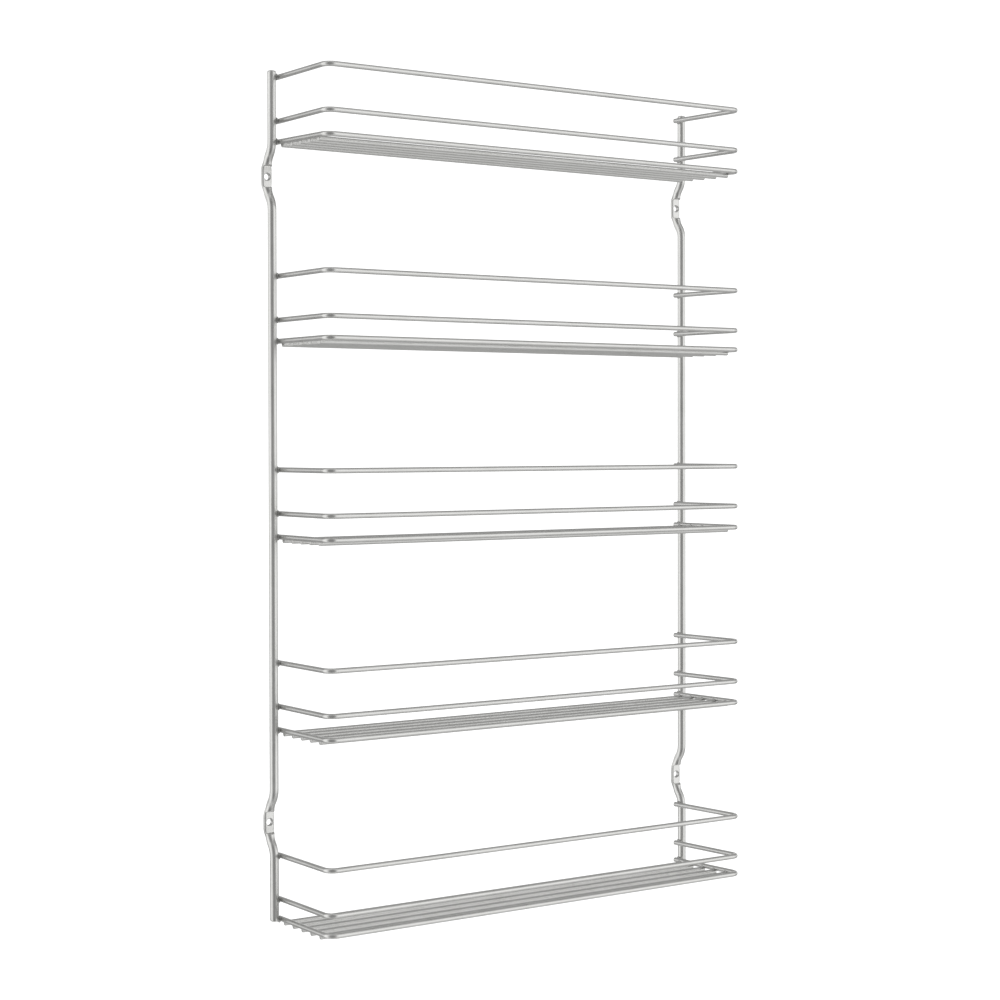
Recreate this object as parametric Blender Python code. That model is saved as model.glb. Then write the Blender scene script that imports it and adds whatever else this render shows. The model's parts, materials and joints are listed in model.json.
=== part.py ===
"""A five-tier wall rack for spice jars, welded from round steel bar and wire.

Metres, +Z up. X runs along the rack's width and the front faces -Y. The wall is the plane Y = 0, and the
origin is the centre of the four fixing holes. Two bent uprights carry five tiers, and each tier is an upper
rail, a lower rail and a floor frame, all bent to a U, with straight wires between the frame's side runs.
"""

import math

import bmesh
import bpy
from mathutils import Matrix, Vector

MM = 0.001

# Stock
BAR_RADIUS = 3.0 * MM
WIRE_RADIUS = 1.75 * MM
WELD_GAP = 0.25 * MM  # left between two pieces that a weld joins

# Uprights
BAR_SPACING = 357.5 * MM  # between the two bars' axes, and so between the holes
BAR_TOP = 286.0 * MM
BAR_BOTTOM = -282.0 * MM
BAR_CHAMFER = 0.7 * MM
STANDOFF = 6.0 * MM  # from the wall to the back of the straight bar
BAR_SIDES = 20

# Eyes, pressed into the uprights where they bend back to the wall
EYE_SPACING = 432.0 * MM
EYE_WIDTH = 7.4 * MM
EYE_THICKNESS = BAR_RADIUS
EYE_FULLNESS = 1.8  # how much squarer the pressed back is than the bar
EYE_LENGTH = 14.2 * MM
EYE_STEP = 0.8 * MM  # the height over which the bar's front falls to the pressed face
EYE_STRAIGHT = 12.0 * MM  # the stretch that lies along the wall
HOLE_RADIUS = 2.3 * MM
HOLE_SIDES = 24
BEND_LENGTH = 17.0 * MM  # the height of the double bend above and below an eye
BEND_STEPS = 8

# Tiers, placed by their upper rails from the top down
TOP_RAIL = 281.7 * MM
TOP_PITCH = 132.2 * MM
PITCH = 129.15 * MM
LOWER_RAIL_DROP = 29.3 * MM
FLOOR_DROPS = (44.9 * MM, 43.4 * MM, 44.9 * MM, 44.9 * MM, 42.4 * MM)  # at the front, from the top tier down
FLOOR_RISES = (1.9 * MM, 0, 0, 0, 0)  # how much higher each floor is at the bars than at the front
SHELF_DEPTH = 67.0 * MM  # from the bars' axes to the front wires' axes
RAIL_SPLAY = 3.1 * MM  # by which each side run is further out at the front than at its bar
RAIL_END = 1.9 * MM  # how far a rail's ends run past the bars' axes, towards the wall
CORNER_RADIUS = 6.0 * MM
CORNER_STEPS = 5

# Floor wires
FLOOR_WIRES = 5
FLOOR_PITCH = 12.4 * MM
FLOOR_SINK = 2.2 * MM  # from the frame's axis down to the floor wires' axes

BAR_X = BAR_SPACING / 2
BAR_Y = -STANDOFF - BAR_RADIUS
RAIL_X = BAR_X - BAR_RADIUS - WELD_GAP - WIRE_RADIUS
FRONT_Y = BAR_Y - SHELF_DEPTH


def collection(name):
    made = bpy.data.collections.new(name)
    bpy.context.scene.collection.children.link(made)
    return made


def steel(name, shade, roughness):
    """Satin silver steel: its colour is a slightly warm grey of this shade."""
    material = bpy.data.materials.new(name)
    material.use_nodes = True
    surface = material.node_tree.nodes["Principled BSDF"]
    surface.inputs["Base Color"].default_value = (shade, shade, shade * 0.97, 1)
    surface.inputs["Metallic"].default_value = 1
    surface.inputs["Roughness"].default_value = roughness
    return material


def rounded(corners, radius, steps):
    """The path through these corners, with every inner one turned on an arc."""
    path = [corners[0]]
    for before, corner, after in zip(corners, corners[1:], corners[2:]):
        back = (before - corner).normalized()
        ahead = (after - corner).normalized()
        half = back.angle(ahead) / 2
        centre = corner + (back + ahead).normalized() * radius / math.sin(half)
        first = corner + back * radius / math.tan(half) - centre
        last = corner + ahead * radius / math.tan(half) - centre
        turn = (math.pi - 2 * half) / steps
        axis = first.cross(last)
        path += [centre + Matrix.Rotation(turn * i, 3, axis) @ first for i in range(steps + 1)]
    return path + [corners[-1]]


def wire(name, path, material, parts):
    """A round wire along this path, cut square at both ends."""
    curve = bpy.data.curves.new(name, "CURVE")
    curve.dimensions = "3D"
    curve.bevel_depth = WIRE_RADIUS
    curve.bevel_resolution = 2
    curve.use_fill_caps = True
    spline = curve.splines.new("POLY")
    spline.points.add(len(path) - 1)
    for point, place in zip(spline.points, path):
        point.co = (*place, 1)
    spline.use_smooth = True
    curve.materials.append(material)
    parts.objects.link(bpy.data.objects.new(name, curve))


def side_x(y):
    """How far a side run's axis is from the rack's middle, this far forward."""
    return RAIL_X + RAIL_SPLAY * (BAR_Y - y) / SHELF_DEPTH


def side_z(y, front_height, rise):
    """The height of a side run's axis, this far forward, when it rises by this much to its bar."""
    return front_height + rise * (y - FRONT_Y) / SHELF_DEPTH


def rail_path(front_height, rise=0):
    """A U from the left bar's inner flank round the front to the right bar's."""
    sides = [(side_x(y), y, side_z(y, front_height, rise)) for y in (BAR_Y + RAIL_END, FRONT_Y)]
    corners = [(-x, y, z) for x, y, z in sides] + [(x, y, z) for x, y, z in reversed(sides)]
    return rounded([Vector(corner) for corner in corners], CORNER_RADIUS, CORNER_STEPS)


def floor_path(y, front_height, rise):
    """A straight run whose ends meet the frame's side runs from below and inside."""
    clear = WIRE_RADIUS + WELD_GAP
    reach = side_x(y) - math.sqrt(clear**2 - (FLOOR_SINK - WIRE_RADIUS) ** 2)
    return [Vector((x, y, side_z(y, front_height, rise) - FLOOR_SINK)) for x in (-reach, reach)]


def set_back(rise):
    """(offset towards the wall, lean away from it) of the bar's axis, this far above an eye's middle.

    The double bend is two equal arcs that meet half-way.
    """
    radius = (BEND_LENGTH**2 + STANDOFF**2) / (4 * STANDOFF)
    from_eye = min(max(abs(rise) - EYE_STRAIGHT / 2, 0), BEND_LENGTH)
    near = from_eye <= BEND_LENGTH / 2
    run = from_eye if near else BEND_LENGTH - from_eye
    drop = radius - math.sqrt(radius**2 - run**2)
    lean = math.copysign(math.asin(run / radius), rise)
    return (STANDOFF - drop if near else drop), lean


def section(pressed):
    """A bar's outline as (x, y) round its axis, +Y towards the wall: round, or pressed flat at the front."""
    points = []
    for i in range(BAR_SIDES):
        angle = math.tau * i / BAR_SIDES
        if not pressed:
            points.append((BAR_RADIUS * math.cos(angle), BAR_RADIUS * math.sin(angle)))
            continue
        back = max(math.sin(angle), 0) * BAR_RADIUS * EYE_FULLNESS
        points.append((EYE_WIDTH / 2 * math.cos(angle), min(back, EYE_THICKNESS)))
    return points


def upright_rings():
    """(height, pressed, scale) of each ring of an upright, from the bottom up."""
    rings = [(BAR_BOTTOM, False, 1 - BAR_CHAMFER / BAR_RADIUS), (BAR_BOTTOM + BAR_CHAMFER, False, 1)]
    face = EYE_LENGTH / 2
    bend_start = EYE_STRAIGHT / 2 + BEND_LENGTH
    round_rises = [bend_start - BEND_LENGTH * i / BEND_STEPS for i in range(BEND_STEPS)]
    rises = [(rise, False) for rise in round_rises if rise > face + EYE_STEP]
    rises += [(face + EYE_STEP, False), (face, True), (EYE_STRAIGHT / 2, True)]
    for middle in (-EYE_SPACING / 2, EYE_SPACING / 2):
        rings += [(middle - rise, pressed, 1) for rise, pressed in rises]
        rings += [(middle + rise, pressed, 1) for rise, pressed in reversed(rises)]
    return rings + [(BAR_TOP - BAR_CHAMFER, False, 1), (BAR_TOP, False, 1 - BAR_CHAMFER / BAR_RADIUS)]


def upright_mesh():
    """A loft along the bent bar, with its axis at x = 0."""
    shape = bmesh.new()
    rings = []
    for height, pressed, scale in upright_rings():
        rise = min((height - s * EYE_SPACING / 2 for s in (-1, 1)), key=abs)
        offset, lean = set_back(rise)
        tilt = Matrix.Rotation(lean, 3, "X")
        axis = Vector((0, BAR_Y + offset, height))
        rings.append(
            [shape.verts.new(axis + tilt @ Vector((x * scale, y * scale, 0))) for x, y in section(pressed)]
        )
    for low, high in zip(rings, rings[1:]):
        for i in range(BAR_SIDES):
            j = (i + 1) % BAR_SIDES
            shape.faces.new((low[i], low[j], high[j], high[i]))
    shape.faces.new(reversed(rings[0]))
    shape.faces.new(rings[-1])
    mesh = bpy.data.meshes.new("upright")
    shape.to_mesh(mesh)
    shape.free()
    mesh.shade_smooth()
    mesh.set_sharp_from_angle(angle=math.radians(35))
    return mesh


def hole_cutter(name, place, cutters):
    """A pin along Y through the middle of an eye."""
    mesh = bpy.data.meshes.new(name)
    shape = bmesh.new()
    bmesh.ops.create_cone(
        shape,
        cap_ends=True,
        segments=HOLE_SIDES,
        radius1=HOLE_RADIUS,
        radius2=HOLE_RADIUS,
        depth=4 * BAR_RADIUS,
        matrix=Matrix.Rotation(math.pi / 2, 4, "X"),
    )
    shape.to_mesh(mesh)
    shape.free()
    cutter = bpy.data.objects.new(name, mesh)
    cutter.location = place
    cutter.hide_render = True
    cutter.display_type = "WIRE"
    cutters.objects.link(cutter)
    return cutter


def make_uprights(parts, cutters):
    material = steel("bar_steel", 0.60, 0.34)
    for side, x in (("left", -BAR_X), ("right", BAR_X)):
        mesh = upright_mesh()
        mesh.materials.append(material)
        upright = bpy.data.objects.new(f"upright_{side}", mesh)
        upright.location.x = x
        parts.objects.link(upright)
        for level, z in (("lower", -EYE_SPACING / 2), ("upper", EYE_SPACING / 2)):
            place = (x, -EYE_THICKNESS / 2, z)
            cut = upright.modifiers.new(f"{level}_hole", "BOOLEAN")
            cut.operation = "DIFFERENCE"
            cut.solver = "EXACT"
            cut.object = hole_cutter(f"hole_{side}_{level}", place, cutters)


def make_tiers(parts):
    rail_material = steel("rail_steel", 0.62, 0.32)
    floor_material = steel("floor_steel", 0.58, 0.36)
    for tier, (floor_drop, floor_rise) in enumerate(zip(FLOOR_DROPS, FLOOR_RISES), 1):
        name = f"tier_{tier}"
        top = TOP_RAIL - (TOP_PITCH + (tier - 2) * PITCH if tier > 1 else 0)
        floor = (top - floor_drop, floor_rise)
        wire(f"{name}_upper_rail", rail_path(top), rail_material, parts)
        wire(f"{name}_lower_rail", rail_path(top - LOWER_RAIL_DROP), rail_material, parts)
        wire(f"{name}_floor_frame", rail_path(*floor), rail_material, parts)
        for i in range(1, FLOOR_WIRES + 1):
            path = floor_path(FRONT_Y + i * FLOOR_PITCH, *floor)
            wire(f"{name}_floor_wire_{i}", path, floor_material, parts)


def main():
    for old in list(bpy.data.objects):
        bpy.data.objects.remove(old, do_unlink=True)
    parts = collection("wall_spice_rack")
    cutters = collection("cutters")
    cutters.hide_render = True
    make_uprights(parts, cutters)
    make_tiers(parts)


main()
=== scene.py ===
"""The looks of the five-tier wall rack for spice jars: satin-silver bar and wire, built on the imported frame.

Metres, +Z up. The wall is the plane Y = 0, and the rack's front faces -Y.
"""

import json
import math

import bmesh
import bpy
from mathutils import Matrix, Vector, noise


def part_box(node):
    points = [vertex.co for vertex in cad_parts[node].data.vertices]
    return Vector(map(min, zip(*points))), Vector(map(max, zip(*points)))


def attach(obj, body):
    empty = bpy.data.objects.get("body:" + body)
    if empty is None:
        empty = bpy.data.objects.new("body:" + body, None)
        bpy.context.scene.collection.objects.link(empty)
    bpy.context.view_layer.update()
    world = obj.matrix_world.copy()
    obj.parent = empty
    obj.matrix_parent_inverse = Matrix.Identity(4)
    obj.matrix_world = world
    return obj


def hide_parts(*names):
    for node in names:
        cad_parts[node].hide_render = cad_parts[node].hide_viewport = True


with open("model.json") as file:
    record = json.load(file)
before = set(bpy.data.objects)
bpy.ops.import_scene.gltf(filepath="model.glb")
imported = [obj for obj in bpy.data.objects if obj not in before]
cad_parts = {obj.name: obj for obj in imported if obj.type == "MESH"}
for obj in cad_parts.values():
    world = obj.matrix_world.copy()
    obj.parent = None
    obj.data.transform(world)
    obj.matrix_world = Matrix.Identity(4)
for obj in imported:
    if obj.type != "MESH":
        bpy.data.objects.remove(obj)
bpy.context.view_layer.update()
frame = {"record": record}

MM = 0.001

# What the rack has of each, and its fixing holes as the record has them
TIERS = 5
FLOOR_WIRES = 5
FIXING = next(m for m in frame["record"]["mounts"] if m["name"] == "wall_fixing")["dims"]
EYE_HEIGHTS = (-FIXING["spacing_y_mm"] / 2 * MM, FIXING["spacing_y_mm"] / 2 * MM)
HOLE_RADIUS = FIXING["hole_r_mm"] * MM

# Cut ends of wires and bars
END_STEPS = 5  # rings in the rounding round a cut end
DOME_SHARES = (0.35, 0.7, 0.92)  # where the rings of its dome are, as shares of the rounding's inner radius
END_CLEARANCE = 1.2  # the least distance from a cut end to a ring past the rounding, in roundings

# Wires
WIRE_SIDES = 24
CORNER_RADIUS = 6.0 * MM
CORNER_STEPS = 14
WIRE_EDGE = 0.35 * MM  # the rounding round a cut end
WIRE_DOME = 0.08 * MM  # by which a cut end stands out in its middle
RAIL_SPLAY = 3.1 * MM  # by which each side run is further out at the front than at its bar
FLOOR_WIRE_SINK = 1.8 * MM  # how far a floor wire's ends run into their welds
RING_SPACING = {  # between the rings of a straight stretch
    "upper_rail": 3.0 * MM,
    "lower_rail": 3.0 * MM,
    "floor_frame": 1.5 * MM,
    "floor_wire": 6.0 * MM,
}

# Uprights
BAR_SIDES = 56
BAR_RADIUS = 3.0 * MM
BAR_EDGE = 1.3 * MM
BAR_DOME = 0.4 * MM
BAR_SPACING = 2.5 * MM  # between the rings of a straight bar
BEND_LENGTH = 17.0 * MM
BEND_SPACING = 0.6 * MM
BEND_MARGIN = 2.0 * MM  # by which the closer rings reach past a bend

# Eyes, pressed into the uprights
EYE_STRAIGHT = 12.0 * MM  # the stretch that lies along the wall
EYE_HALF = 7.1 * MM  # half the height of the pressed face
EYE_STEP = 1.4 * MM  # the height over which the bar's front falls to the pressed face
EYE_THICKNESS = BAR_RADIUS  # the pressed face is level with the bar's axis
EYE_FRONT = (5.5, 2.0)  # exponents, across and through, of the superellipse that the pressed half is
EYE_BACK = (5.0, 5.0)  # the same of the half towards the wall
EYE_ROUND = 0.8 * MM  # the depth of the rounding along the pressed face's sides
EYE_CORNER = 0.8 * MM  # by which the pressed face is shorter at its sides than in its middle
EYE_DULLNESS = 0.22  # how much duller the pressed steel is than the plating, as a share of a weld's heat
FACE_END = (EYE_HALF - EYE_CORNER - EYE_STEP / 2, EYE_HALF + EYE_STEP * 1.5)  # where the rings are closest
FACE_END_SPACING = 0.12 * MM
BULGE_LENGTH = 3.4 * MM  # over which the bar widens towards an eye, each way from the pressed face's end
HOLE_SIDES = 64
HOLE_FLARE = 0.45 * MM
FLARE_STEPS = 5
FLARE_POWER = 1.5  # how much the flare hugs the pressed face; 1 is a quarter round
HOLE_SHADE_AND_DULLNESS = 1.0  # how much darker the punched hole is, for its raw steel and for painted shade in its bore, as a share of a weld's full tint
SHARP_ANGLE = math.radians(40)  # edges that turn by more than this are shaded sharp

# Welds. A bead's lumps are each a height and a fineness, and the step in the noise from one bead to the next.
WELD_FADE = 1.9 * MM  # how far a weld's heat tint, with painted shade where the wires meet, darkens the steel
BAR_WELD = (1.15 * MM, 2.5 * MM, 2.35 * MM)  # half sizes of a bead between a bar and a wire
FLOOR_WELD = (0.75 * MM, 1.6 * MM, 1.3 * MM)  # the same at a floor wire's end
FLOOR_WELD_SHARE = 0.95  # how near that bead is to the floor wire's end, from the side run's axis
BEAD_DIVISIONS = 3
LUMPS = ((0.16, 1.7, (7.1, 3.3, 1.0)), (0.05, 5.0, (1.0, 5.7, 0.0)))

# Steel. A noise has a scale and a detail, and a bump has a strength and a distance.
FINISHES = {  # of each material: its name, shade and roughness
    "bar_steel": ("bar_satin", 0.62, 0.30),
    "rail_steel": ("rail_satin", 0.62, 0.30),
    "floor_steel": ("floor_satin", 0.60, 0.32),
    # the weld beads are darker partly for their heat tint and partly as painted shade where wire meets bar
    "shaded_weld_steel": ("shaded_weld_satin", 0.45, 0.38),
}
GRAIN_ROUND = 5000.0  # drawn grain's cells a metre round a wire
GRAIN_ALONG = 60.0  # drawn grain's cells a metre along it
GRAIN_SEEDS = 97
CLOUD_NOISE = (55.0, 3.0)
MOTTLE_NOISE = (900.0, 4.0)
GRAIN_NOISE = (1.0, 3.0)
NOISE_MIDDLE = (0.3, 0.7)  # the values between which most of a noise lies
SPECK_RANGE = (0.55, 0.8)  # the values of the mottle over which a speck grows
DARK_CLOUD = (0.94, 0.94, 0.915)  # as shares of the shade
PALE_CLOUD = (1.05, 1.05, 1.03)
SPECK = (0.72, 0.71, 0.68)
SPECK_SHARE = 0.35
# Brown at welds and in the eyes' holes: partly a heat tint, partly painted shade where wire meets bar and
# inside the bores
SCORCH_AND_SHADE = (0.26, 0.245, 0.215, 1)
SCORCH_AND_SHADE_SHARE = 0.75
CLOUD_GLOSS = (-0.04, 0.05)  # what each adds to the roughness
GRAIN_GLOSS = (-0.03, 0.03)
SCORCHED_GLOSS = (0, 0.18)
GRAIN_BUMP = (0.10, 0.05 * MM)
MOTTLE_BUMP = (0.12, 0.06 * MM)

# Stage
FLOOR_HEIGHT = -0.9
FLOOR_SHADE = 0.92
FLOOR_ROUGHNESS = 0.9
FLOOR_SIDES = 96
DOME_RADIUS = 9.0
DOME_SIDES = (64, 32)
DOME_GLOW = 1.2

# Light from the world. A direction faces the camera by 1 when it points straight at it and by 0 square to it,
# and each pair of such values says where an effect starts and where it is full.
WORLD_STRENGTH = 1.36
HORIZON_RISE = (0.04, 0.05)  # how high the bright band's middle is, in front and behind
BEHIND = (0.1, -0.25)
BAND = {  # where the band fades, from its middle outwards, and from what to what, in front and behind
    "From Min": (0.22, 0.0),
    "From Max": (0.62, 0.36),
    "To Min": (1.0, 1.0),
    "To Max": (0.64, 0.40),
}
CAMERA_GAP = (0.55, 0.92)  # the dark gap round the camera
GAP_HEIGHT = 2.0  # how much taller than wide it is
GAP_SHARE = 0.27  # how bright it is
BACK_SHARE = 0.78  # how bright the back is
LOW_BACK = (-0.45, -0.8)  # how far down the light from low behind grows
LOW_BACK_GAIN = 0.55
TALL_LIGHT_TURN = math.radians(65)  # how far to the camera's left the band is taller
TALL_LIGHT = (0.8, 0.95)
TALL_LIGHT_HEIGHT = 2.6  # how much taller it is

# Camera, in the frame's axes
CAMERA_PLACE = Vector((-0.91664, -1.28558, 0.03964))
CAMERA_YAW = 0.62536
CAMERA_PITCH = -0.0171
CAMERA_ROLL = -0.00188
CAMERA_LENS = 79.243
CAMERA_SENSOR = 36.0
CAMERA_SHIFT = (0.00336, -0.02187)


# ---- Shader nodes ----


def feed(tree, socket, value):
    """Sets an input to a value, or links it to a socket."""
    if isinstance(value, bpy.types.NodeSocket):
        tree.links.new(value, socket)
    else:
        socket.default_value = value


def node(tree, kind, settings=(), **inputs):
    """A shader node with these settings and inputs, in whose names _ stands for a space."""
    made = tree.nodes.new(kind)
    for key, value in dict(settings).items():
        setattr(made, key, value)
    for key, value in inputs.items():
        feed(tree, made.inputs[key.replace("_", " ")], value)
    return made


def operated(tree, kind, operation, *values):
    """A node of this kind that does an operation on the values."""
    made = node(tree, kind, {"operation": operation})
    for socket, value in zip(made.inputs, values):
        feed(tree, socket, value)
    return made


def result(tree, operation, *values):
    """What an operation on these numbers gives."""
    return operated(tree, "ShaderNodeMath", operation, *values).outputs["Value"]


def remapped(tree, value, low, high, new_low, new_high):
    made = node(
        tree, "ShaderNodeMapRange", Value=value, From_Min=low, From_Max=high, To_Min=new_low, To_Max=new_high
    )
    return made.outputs["Result"]


def eased(tree, value, low, high, new_low, new_high):
    """The same as remapped, with a soft start and end."""
    socket = remapped(tree, value, low, high, new_low, new_high)
    socket.node.interpolation_type = "SMOOTHSTEP"
    return socket


def mixed(tree, share, first, second):
    """A colour from the first to the second, by share."""
    made = node(tree, "ShaderNodeMix", {"data_type": "RGBA"})
    share_input, first_input, second_input = made.inputs[0], made.inputs[6], made.inputs[7]
    feed(tree, share_input, share)
    feed(tree, first_input, first)
    feed(tree, second_input, second)
    return made.outputs[2]


def noise_field(tree, place, scale, detail):
    return node(tree, "ShaderNodeTexNoise", Vector=place, Scale=scale, Detail=detail).outputs["Fac"]


def bumped(tree, height, strength, distance, **inputs):
    """The normal of a surface with this relief."""
    made = node(tree, "ShaderNodeBump", Height=height, Strength=strength, Distance=distance, **inputs)
    return made.outputs["Normal"]


# ---- Materials ----


def tinted(shade, tint):
    return (*(shade * part for part in tint), 1)


def satin_steel(name, shade, roughness):
    """Satin silver plating, cloudy in colour and gloss, and dull and brown at welds and in holes: heat tint
    and painted shade.

    It is faintly drawn along the wire and pitted all over.
    """
    material = bpy.data.materials.new(name)
    material.use_nodes = True
    tree = material.node_tree
    surface = tree.nodes["Principled BSDF"]
    place = node(tree, "ShaderNodeTexCoord").outputs["Object"]
    grain = node(tree, "ShaderNodeAttribute", {"attribute_name": "grain"}).outputs["Vector"]
    heat = node(tree, "ShaderNodeAttribute", {"attribute_name": "heat"}).outputs["Fac"]
    clouds = noise_field(tree, place, *CLOUD_NOISE)
    mottle = noise_field(tree, place, *MOTTLE_NOISE)
    drawn = noise_field(tree, grain, *GRAIN_NOISE)

    pale = remapped(tree, clouds, *NOISE_MIDDLE, 0, 1)
    clean = mixed(tree, pale, tinted(shade, DARK_CLOUD), tinted(shade, PALE_CLOUD))
    specks = remapped(tree, mottle, *SPECK_RANGE, 0, SPECK_SHARE)
    speckled = mixed(tree, specks, clean, tinted(shade, SPECK))
    # painted shade at welds and in holes, mixed with the welds' heat tint
    scorched_and_shaded = mixed(tree, remapped(tree, heat, 0, 1, 0, SCORCH_AND_SHADE_SHARE), speckled, SCORCH_AND_SHADE)
    tree.links.new(scorched_and_shaded, surface.inputs["Base Color"])

    gloss = remapped(tree, clouds, *NOISE_MIDDLE, *(roughness + change for change in CLOUD_GLOSS))
    gloss = result(tree, "ADD", gloss, remapped(tree, drawn, *NOISE_MIDDLE, *GRAIN_GLOSS))
    gloss = result(tree, "ADD", gloss, remapped(tree, heat, 0, 1, *SCORCHED_GLOSS))
    tree.links.new(gloss, surface.inputs["Roughness"])
    surface.inputs["Metallic"].default_value = 1.0

    lines = bumped(tree, drawn, *GRAIN_BUMP)
    tree.links.new(bumped(tree, mottle, *MOTTLE_BUMP, Normal=lines), surface.inputs["Normal"])
    return material


# ---- Swept pieces ----


def rounded(corners, radius, steps):
    """The path through these corners, with every inner one turned on an arc."""
    path = [corners[0]]
    for before, corner, after in zip(corners, corners[1:], corners[2:]):
        back = (before - corner).normalized()
        ahead = (after - corner).normalized()
        half = back.angle(ahead) / 2
        centre = corner + (back + ahead).normalized() * radius / math.sin(half)
        first = corner + back * radius / math.tan(half) - centre
        last = corner + ahead * radius / math.tan(half) - centre
        turn = (math.pi - 2 * half) / steps
        axis = first.cross(last)
        path += [centre + Matrix.Rotation(turn * i, 3, axis) @ first for i in range(steps + 1)]
    return path + [corners[-1]]


def divided(path, spacing):
    """The same path with points added, so that none are further apart than the spacing."""
    made = [path[0]]
    for start, end in zip(path, path[1:]):
        count = max(1, math.ceil((end - start).length / spacing))
        made += [start.lerp(end, i / count) for i in range(1, count + 1)]
    return made


def tangents(path):
    """The direction of the path at each of its points."""
    ends = [path[0]] + path + [path[-1]]
    return [(after - before).normalized() for before, after in zip(ends, ends[2:])]


def length_of(path):
    return sum((after - before).length for before, after in zip(path, path[1:]))


def end_profile(radius, edge, dome):
    """(distance in from a cut end, radius there) from the end's middle outwards."""
    flat = radius - edge
    profile = [(dome * (share**2 - 1), flat * share) for share in DOME_SHARES]
    for i in range(END_STEPS + 1):
        angle = math.pi / 2 * i / END_STEPS
        profile.append((edge * (1 - math.cos(angle)), flat + edge * math.sin(angle)))
    return profile


def stations(path, radius, edge, dome):
    """(centre, direction, radius, distance along) of each ring, with both ends domed and rounded."""
    directions = tangents(path)
    profile = end_profile(radius, edge, dome)
    length = length_of(path)
    made = [(path[0] + directions[0] * depth, directions[0], r, depth) for depth, r in profile]
    run = 0.0
    for i in range(1, len(path) - 1):
        run += (path[i] - path[i - 1]).length
        if edge * END_CLEARANCE < run < length - edge * END_CLEARANCE:
            made.append((path[i], directions[i], radius, run))
    for depth, r in reversed(profile):
        made.append((path[-1] - directions[-1] * depth, directions[-1], r, length - depth))
    return made


def skinned(name, rings, poles):
    """A closed mesh over rings of points, with each end closed by a fan to its pole."""
    mesh = bmesh.new()
    loops = [[mesh.verts.new(point) for point in ring] for ring in rings]
    sides = len(loops[0])
    for low, high in zip(loops, loops[1:]):
        for i in range(sides):
            j = (i + 1) % sides
            mesh.faces.new((low[i], low[j], high[j], high[i]))
    first, last = (mesh.verts.new(pole) for pole in poles)
    for i in range(sides):
        j = (i + 1) % sides
        mesh.faces.new((first, loops[0][j], loops[0][i]))
        mesh.faces.new((last, loops[-1][i], loops[-1][j]))
    bmesh.ops.recalc_face_normals(mesh, faces=mesh.faces)
    return finished(name, mesh)


def finished(name, mesh):
    """The smooth mesh that a bmesh holds."""
    made = bpy.data.meshes.new(name)
    mesh.to_mesh(made)
    mesh.free()
    made.shade_smooth()
    return made


def placed(name, mesh, material):
    mesh.materials.append(material)
    piece = bpy.data.objects.new(name, mesh)
    bpy.context.scene.collection.objects.link(piece)
    return piece


def add_attributes(mesh, grain, heat):
    """What the materials read at each point: where it is in the drawn grain, and how dark a weld's heat tint
    and painted shade make it.
    """
    places = mesh.attributes.new("grain", "FLOAT_VECTOR", "POINT")
    places.data.foreach_set("vector", [part for place in grain for part in place])
    mesh.attributes.new("heat", "FLOAT", "POINT").data.foreach_set("value", heat)


def add_even_attributes(mesh, heat):
    """The same for a mesh whose grain isn't drawn, and which is equally dull all over."""
    add_attributes(mesh, [vert.co * GRAIN_ROUND for vert in mesh.vertices], [heat] * len(mesh.vertices))


def smooth_step(value, low, high):
    share = min(max((value - low) / (high - low), 0), 1)
    return share * share * (3 - 2 * share)


def weld_heat_and_shade(point, welds):
    """How dark a weld's heat tint and painted shade make the steel: 1 at a weld, falling to 0 at the fade
    distance.
    """
    nearest = min(((point - weld).length for weld in welds), default=WELD_FADE)
    return smooth_step(1 - nearest / WELD_FADE, 0, 1)


def swept(name, path, up, radius, material, welds):
    """A round wire along a flat path, whose plane is square to up, with sheared ends."""
    seed = sum(ord(letter) for letter in name) % GRAIN_SEEDS
    rings, grain, points = [], [], []
    for centre, direction, r, run in stations(path, radius, WIRE_EDGE, WIRE_DOME):
        across = direction.cross(up).normalized()
        ring = []
        for i in range(WIRE_SIDES):
            angle = math.tau * i / WIRE_SIDES
            c, s = math.cos(angle), math.sin(angle)
            ring.append(centre + (across * c + up * s) * r)
            grain.append((c * r * GRAIN_ROUND, s * r * GRAIN_ROUND, run * GRAIN_ALONG + seed))
        rings.append(ring)
        points += ring
    directions = tangents(path)
    poles = (path[0] - directions[0] * WIRE_DOME, path[-1] + directions[-1] * WIRE_DOME)
    grain += [(0, 0, seed), (0, 0, length_of(path) * GRAIN_ALONG + seed)]
    points += poles
    mesh = skinned(name, rings, poles)
    add_attributes(mesh, grain, [weld_heat_and_shade(point, welds) for point in points])
    return placed(name, mesh, material)


# ---- Rails and floor frames ----


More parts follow.
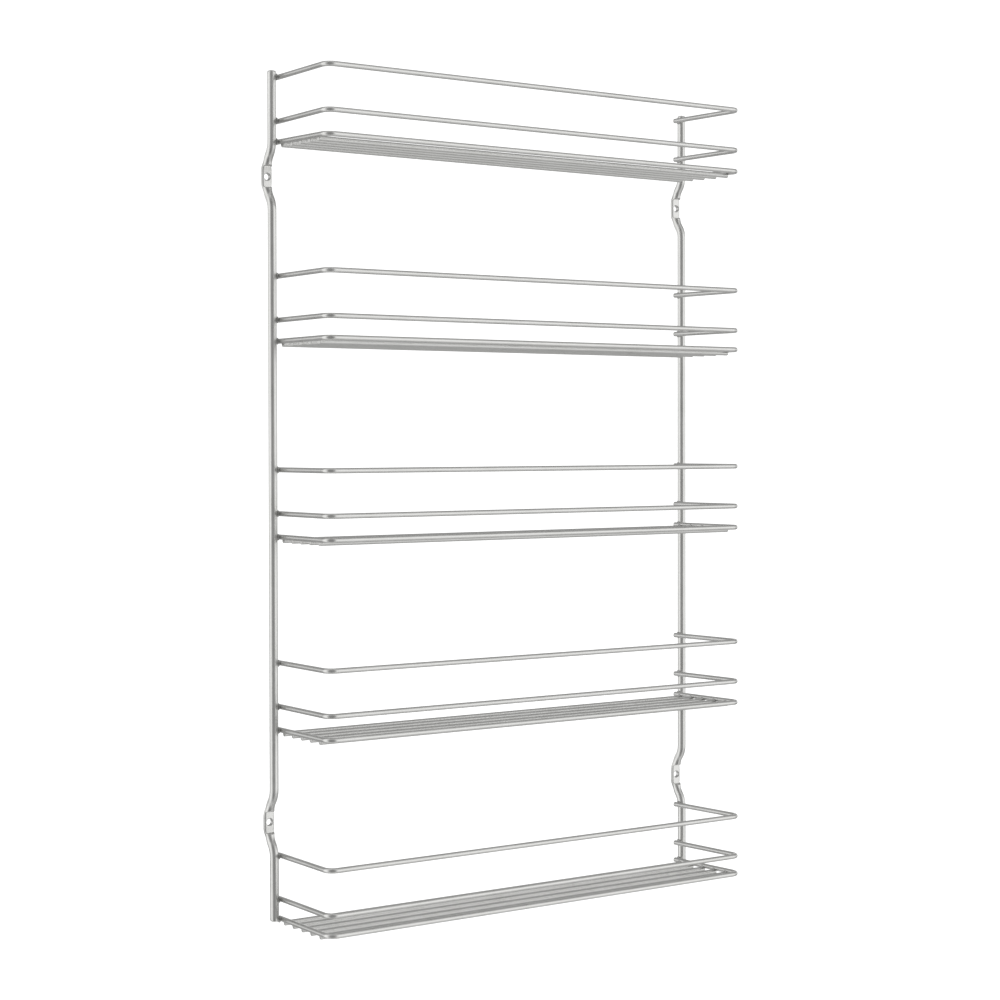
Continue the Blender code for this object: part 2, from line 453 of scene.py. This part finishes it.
class Run:
    """Where a U-shaped wire lies, read from its CAD node. It may rise evenly from its front to the bars."""

    def __init__(self, node_name, bar_y, radius):
        low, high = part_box(node_name)
        self.radius = radius
        self.front = low.y + radius
        self.lean = math.atan2(RAIL_SPLAY, bar_y - self.front)
        self.rear = high.y - radius * math.sin(self.lean)
        self.front_z = low.z + radius
        self.slope = (high.z - low.z - 2 * radius) / (self.rear - self.front)
        past_arc = CORNER_RADIUS * (math.tan(self.lean) + 1 / math.cos(self.lean) - 1)
        self.corner_x = high.x - radius + past_arc
        self.up = Vector((0, -self.slope, 1)).normalized()

    def side(self, y, sign=1):
        """The axis of the right or left side run, this far forward."""
        x = self.corner_x - (y - self.front) * math.tan(self.lean)
        return Vector((sign * x, y, self.front_z + self.slope * (y - self.front)))

    def path(self):
        """The U, from its left end to its right one."""
        ends = [(self.rear, -1), (self.front, -1), (self.front, 1), (self.rear, 1)]
        return rounded([self.side(y, sign) for y, sign in ends], CORNER_RADIUS, CORNER_STEPS)

    def bar_welds(self, bar_x, bar_y):
        """Where the side runs touch the bars."""
        spots = [self.side(bar_y, sign) for sign in (-1, 1)]
        for spot in spots:
            spot.x = math.copysign((abs(spot.x) + self.radius + bar_x - BAR_RADIUS) / 2, spot.x)
        return spots

    def floor_weld(self, end):
        """Where a floor wire's end, with this axis point, meets the side run's flank."""
        axis = self.side(end.y, math.copysign(1, end.x))
        return axis.lerp(Vector((end.x, end.y, axis.z - self.radius / 2)), FLOOR_WELD_SHARE)


# ---- Uprights ----


def set_back(rise, standoff):
    """(offset towards the wall, lean away from it) of a bar's axis, this far above an eye's middle."""
    radius = (BEND_LENGTH**2 + standoff**2) / (4 * standoff)
    from_eye = min(max(abs(rise) - EYE_STRAIGHT / 2, 0), BEND_LENGTH)
    near = from_eye <= BEND_LENGTH / 2
    run = from_eye if near else BEND_LENGTH - from_eye
    drop = radius - math.sqrt(radius**2 - run**2)
    lean = math.copysign(math.asin(run / radius), rise)
    return (standoff - drop if near else drop), lean


def power(value, exponent):
    """A power of the value's size, with the value's sign."""
    return math.copysign(abs(value) ** exponent, value)


def bar_outline(rise, half_width):
    """(x, y) round the axis, +Y towards the wall: round, or wide and pressed flat at the front in an eye."""
    bulge = 1 - smooth_step(abs(rise), EYE_HALF - BULGE_LENGTH, EYE_HALF + BULGE_LENGTH)
    width = BAR_RADIUS + (half_width - BAR_RADIUS) * bulge
    points = []
    for i in range(BAR_SIDES):
        angle = math.tau * i / BAR_SIDES
        c, s = math.cos(angle), math.sin(angle)
        end = EYE_HALF - EYE_CORNER * abs(c)
        pressed = 1 - smooth_step(abs(rise), end, end + EYE_STEP)
        middle = EYE_ROUND * pressed
        if s > 0:
            depth, exponents, share = BAR_RADIUS - middle, EYE_BACK, bulge
        else:
            depth, exponents, share = BAR_RADIUS * (1 - pressed) + middle, EYE_FRONT, pressed
        across, through = (2 + (exponent - 2) * share for exponent in exponents)
        points.append((width * power(c, 2 / across), middle + depth * power(s, 2 / through)))
    return points


def bar_levels(bottom, top):
    """(height, radius share) of each ring of an upright, close together where the bar is bent or pressed."""
    profile = end_profile(BAR_RADIUS, BAR_EDGE, BAR_DOME)
    levels = [(bottom + BAR_DOME + depth, r / BAR_RADIUS) for depth, r in profile]
    height = bottom + BAR_DOME + BAR_EDGE
    while True:
        rise = min(abs(height - eye) for eye in EYE_HEIGHTS)
        if FACE_END[0] < rise < FACE_END[1]:
            height += FACE_END_SPACING
        elif rise < EYE_STRAIGHT / 2 + BEND_LENGTH + BEND_MARGIN:
            height += BEND_SPACING
        else:
            height += BAR_SPACING
        if height > top - BAR_DOME - BAR_EDGE * END_CLEARANCE:
            break
        levels.append((height, 1))
    return levels + [(top - BAR_DOME - depth, r / BAR_RADIUS) for depth, r in reversed(profile)]


def upright_mesh(name, low, high, welds):
    """A loft along the bent bar, without its holes."""
    bar_x = (low.x + high.x) / 2
    half_width = (high.x - low.x) / 2
    standoff = -low.y - 2 * BAR_RADIUS
    axis_y = low.y + BAR_RADIUS
    rings, grain, heat = [], [], []
    for height, share in bar_levels(low.z, high.z):
        rise = min((height - eye for eye in EYE_HEIGHTS), key=abs)
        offset, lean = set_back(rise, standoff)
        tilt = Matrix.Rotation(lean, 3, "X")
        centre = Vector((bar_x, axis_y + offset, height))
        wear = EYE_DULLNESS * (1 - smooth_step(abs(rise), EYE_HALF - EYE_STEP, EYE_HALF + EYE_STEP))
        ring = []
        for x, y in bar_outline(rise, half_width):
            ring.append(centre + tilt @ Vector((x * share, y * share, 0)))
            grain.append((x * GRAIN_ROUND, y * GRAIN_ROUND, height * GRAIN_ALONG))
        rings.append(ring)
        heat += [max(wear, weld_heat_and_shade(point, welds)) for point in ring]
    poles = (Vector((bar_x, axis_y, low.z)), Vector((bar_x, axis_y, high.z)))
    grain += [(0, 0, pole.z * GRAIN_ALONG) for pole in poles]
    heat += [weld_heat_and_shade(pole, welds) for pole in poles]
    mesh = skinned(name, rings, poles)
    add_attributes(mesh, grain, heat)
    return mesh


def hole_cutter(bar_x, height):
    """A pin along Y that flares where it leaves the eye's pressed face."""
    flared = HOLE_RADIUS + HOLE_FLARE
    profile = [(-2 * EYE_THICKNESS, flared), (-EYE_THICKNESS, flared)]
    for i in range(1, FLARE_STEPS + 1):
        sunk = math.sin(math.pi / 2 * i / FLARE_STEPS)
        flare = HOLE_FLARE * (1 - sunk) ** FLARE_POWER
        profile.append((-EYE_THICKNESS + HOLE_FLARE * sunk, HOLE_RADIUS + flare))
    profile.append((EYE_THICKNESS, HOLE_RADIUS))
    rings = []
    for y, r in profile:
        angles = [math.tau * i / HOLE_SIDES for i in range(HOLE_SIDES)]
        rings.append([Vector((bar_x + r * math.cos(a), y, height + r * math.sin(a))) for a in angles])
    poles = [Vector((bar_x, profile[end][0], height)) for end in (0, -1)]
    mesh = skinned("cutter", rings, poles)
    # the bore is painted dark: raw punched steel and painted shade inside the hole
    add_even_attributes(mesh, HOLE_SHADE_AND_DULLNESS)
    return mesh


def punched(upright, bar_x):
    """The upright with its eyes' holes cut through."""
    cutters = []
    for height in EYE_HEIGHTS:
        cutter = bpy.data.objects.new("cutter", hole_cutter(bar_x, height))
        bpy.context.scene.collection.objects.link(cutter)
        cut = upright.modifiers.new("hole", "BOOLEAN")
        cut.operation = "DIFFERENCE"
        cut.solver = "EXACT"
        cut.object = cutter
        cutters.append(cutter)
    graph = bpy.context.evaluated_depsgraph_get()
    mesh = bpy.data.meshes.new_from_object(upright.evaluated_get(graph))
    upright.modifiers.clear()
    upright.data = mesh
    mesh.set_sharp_from_angle(angle=SHARP_ANGLE)
    for cutter in cutters:
        bpy.data.objects.remove(cutter, do_unlink=True)
    return upright


# ---- Welds ----


def add_bead(mesh, centre, size, seed):
    """Adds a lump of molten steel to a bmesh."""
    for vert in bmesh.ops.create_icosphere(mesh, subdivisions=BEAD_DIVISIONS, radius=1)["verts"]:
        swell = 1
        for height, fineness, step in LUMPS:
            swell += height * noise.noise(vert.co * fineness + Vector([seed * part for part in step]))
        vert.co = centre + Vector([part * half for part, half in zip(vert.co, size)]) * swell


def weld_piece(name, spots, size, material):
    """One piece with a bead at each of these spots."""
    mesh = bmesh.new()
    for seed, spot in enumerate(spots):
        add_bead(mesh, spot, size, seed)
    made = finished(name, mesh)
    # each bead is painted fully brown: heat tint and painted shade
    add_even_attributes(made, 1.0)
    return placed(name, made, material)


# ---- The rack ----


def register(piece, slot, *nodes):
    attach(piece, "root")
    if nodes:
        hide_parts(*nodes)


def make_floor_wires(tier, frame_run, material):
    """One tier's floor wires, and where their ends are welded to the floor frame."""
    welds = []
    sink = Vector((FLOOR_WIRE_SINK, 0, 0))
    for i in range(1, FLOOR_WIRES + 1):
        name = f"tier_{tier}_floor_wire_{i}"
        low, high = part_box(name)
        axis = (low + high) / 2
        ends = [Vector((x, axis.y, axis.z)) for x in (low.x, high.x)]
        spots = [frame_run.floor_weld(end) for end in ends]
        path = divided([ends[0] - sink, ends[1] + sink], RING_SPACING["floor_wire"])
        wire = swept(name + "_wire", path, Vector((0, 1, 0)), frame_run.radius, material, spots)
        register(wire, "floor_steel", name)
        welds += spots
    return welds


def make_tiers(bar_x, bar_y, materials):
    """The rails, frames and floor wires of every tier, and where they are welded to the bars."""
    all_welds = []
    for tier in range(1, TIERS + 1):
        low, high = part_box(f"tier_{tier}_upper_rail")
        radius = (high.z - low.z) / 2
        frame_run = Run(f"tier_{tier}_floor_frame", bar_y, radius)
        floor_welds = make_floor_wires(tier, frame_run, materials["floor_steel"])
        bar_welds = []
        for kind in ("upper_rail", "lower_rail", "floor_frame"):
            name = f"tier_{tier}_{kind}"
            run = Run(name, bar_y, radius)
            welds = run.bar_welds(bar_x, bar_y)
            bar_welds += welds
            if kind == "floor_frame":
                welds = welds + floor_welds
            path = divided(run.path(), RING_SPACING[kind])
            wire = swept(name + "_wire", path, run.up, radius, materials["rail_steel"], welds)
            register(wire, "rail_steel", name)
        beads = weld_piece(f"tier_{tier}_bar_welds", bar_welds, BAR_WELD, materials["shaded_weld_steel"])
        register(beads, "rail_steel")
        beads = weld_piece(f"tier_{tier}_floor_welds", floor_welds, FLOOR_WELD, materials["shaded_weld_steel"])
        register(beads, "floor_steel")
        all_welds += bar_welds
    return all_welds


def make_uprights(welds, material):
    for side in ("left", "right"):
        name = f"upright_{side}"
        low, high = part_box(name)
        bar_x = (low.x + high.x) / 2
        near = [weld for weld in welds if weld.x * bar_x > 0]
        upright = placed(name + "_bar", upright_mesh(name, low, high, near), material)
        register(punched(upright, bar_x), "bar_steel", name)


# ---- Stage ----


def floor_paint():
    paint = bpy.data.materials.new("floor_paint")
    paint.use_nodes = True
    surface = paint.node_tree.nodes["Principled BSDF"]
    surface.inputs["Base Color"].default_value = (FLOOR_SHADE, FLOOR_SHADE, FLOOR_SHADE, 1)
    surface.inputs["Roughness"].default_value = FLOOR_ROUGHNESS
    surface.inputs["Specular IOR Level"].default_value = 0.0
    return paint


def dome_light():
    glow = bpy.data.materials.new("dome_light")
    glow.use_nodes = True
    glow.cycles.emission_sampling = "NONE"
    tree = glow.node_tree
    tree.nodes.remove(tree.nodes["Principled BSDF"])
    light = node(tree, "ShaderNodeEmission", Color=(1, 1, 1, 1), Strength=DOME_GLOW)
    tree.links.new(light.outputs["Emission"], tree.nodes["Material Output"].inputs["Surface"])
    return glow


def make_stage():
    """A pale floor under a white dome. Neither shows in the steel, which mirrors the world instead."""
    floor = bmesh.new()
    down = Matrix.Translation((0, 0, FLOOR_HEIGHT))
    bmesh.ops.create_circle(floor, cap_ends=True, radius=DOME_RADIUS, segments=FLOOR_SIDES, matrix=down)
    dome = bmesh.new()
    around, upwards = DOME_SIDES
    bmesh.ops.create_uvsphere(dome, u_segments=around, v_segments=upwards, radius=DOME_RADIUS)
    for name, mesh, material in (("floor", floor, floor_paint()), ("dome", dome, dome_light())):
        made = bpy.data.meshes.new(name)
        mesh.to_mesh(made)
        mesh.free()
        staged = placed(name, made, material)
        staged.visible_glossy = False
        staged.visible_shadow = False


def along(tree, direction, axis, height):
    """How much of a direction lies along this level axis, once its height is divided by this one."""
    kind = "ShaderNodeVectorMath"
    lowered = operated(tree, kind, "MULTIPLY", direction, (1, 1, 1 / height)).outputs["Vector"]
    unit = operated(tree, kind, "NORMALIZE", lowered).outputs["Vector"]
    return operated(tree, kind, "DOT_PRODUCT", unit, axis).outputs["Value"]


def make_world():
    """Soft light from all round the horizon, dimmer above, below and behind, and dark round the camera."""
    world = bpy.data.worlds.new("studio")
    bpy.context.scene.world = world
    world.use_nodes = True
    tree = world.node_tree
    direction = node(tree, "ShaderNodeTexCoord").outputs["Generated"]
    rise = node(tree, "ShaderNodeSeparateXYZ", Vector=direction).outputs["Z"]
    towards_camera = Vector((CAMERA_PLACE.x, CAMERA_PLACE.y, 0)).normalized()
    facing = along(tree, direction, towards_camera, GAP_HEIGHT)
    behind = eased(tree, facing, *BEHIND, 0.0, 1.0)

    tall_light = Matrix.Rotation(-TALL_LIGHT_TURN, 3, "Z") @ towards_camera
    facing_tall = along(tree, direction, tall_light, GAP_HEIGHT)
    taller = eased(tree, facing_tall, *TALL_LIGHT, 1.0, 1 / TALL_LIGHT_HEIGHT)
    from_middle = result(tree, "SUBTRACT", rise, remapped(tree, behind, 0, 1, *HORIZON_RISE))
    height = result(tree, "MULTIPLY", result(tree, "ABSOLUTE", from_middle), taller)
    band = node(tree, "ShaderNodeMapRange", {"interpolation_type": "SMOOTHSTEP"}, Value=height)
    for name, (front_value, back_value) in BAND.items():
        tree.links.new(remapped(tree, behind, 0, 1, front_value, back_value), band.inputs[name])

    low_back = eased(tree, rise, *LOW_BACK, 0.0, LOW_BACK_GAIN)
    shares = [
        band.outputs["Result"],
        result(tree, "MULTIPLY_ADD", low_back, behind, 1),
        eased(tree, facing, *CAMERA_GAP, 1.0, GAP_SHARE),
        remapped(tree, behind, 0, 1, 1.0, BACK_SHARE),
    ]
    strength = WORLD_STRENGTH
    for share in shares:
        strength = result(tree, "MULTIPLY", share, strength)
    background = tree.nodes["Background"]
    background.inputs["Color"].default_value = (1, 1, 1, 1)
    tree.links.new(strength, background.inputs["Strength"])


def make_camera():
    cy, sy = math.cos(CAMERA_YAW), math.sin(CAMERA_YAW)
    cp, sp = math.cos(CAMERA_PITCH), math.sin(CAMERA_PITCH)
    cr, sr = math.cos(CAMERA_ROLL), math.sin(CAMERA_ROLL)
    forward = Vector((sy * cp, cy * cp, sp))
    level = Vector((cy, -sy, 0))
    over = level.cross(forward)
    right = level * cr + over * sr
    up = over * cr - level * sr
    data = bpy.data.cameras.new("camera")
    data.lens = CAMERA_LENS
    data.sensor_width = CAMERA_SENSOR
    data.shift_x, data.shift_y = CAMERA_SHIFT
    camera = bpy.data.objects.new("camera", data)
    turned = Matrix((right, up, -forward)).transposed().to_4x4()
    camera.matrix_world = Matrix.Translation(CAMERA_PLACE) @ turned
    bpy.context.scene.collection.objects.link(camera)
    bpy.context.scene.camera = camera


def main():
    low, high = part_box("upright_right")
    bar_x = (low.x + high.x) / 2
    bar_y = low.y + BAR_RADIUS
    materials = {key: satin_steel(*finish) for key, finish in FINISHES.items()}
    welds = make_tiers(bar_x, bar_y, materials)
    make_uprights(welds, materials["bar_steel"])
    make_stage()
    make_world()
    make_camera()
    bpy.context.scene.view_settings.view_transform = "Standard"


main()
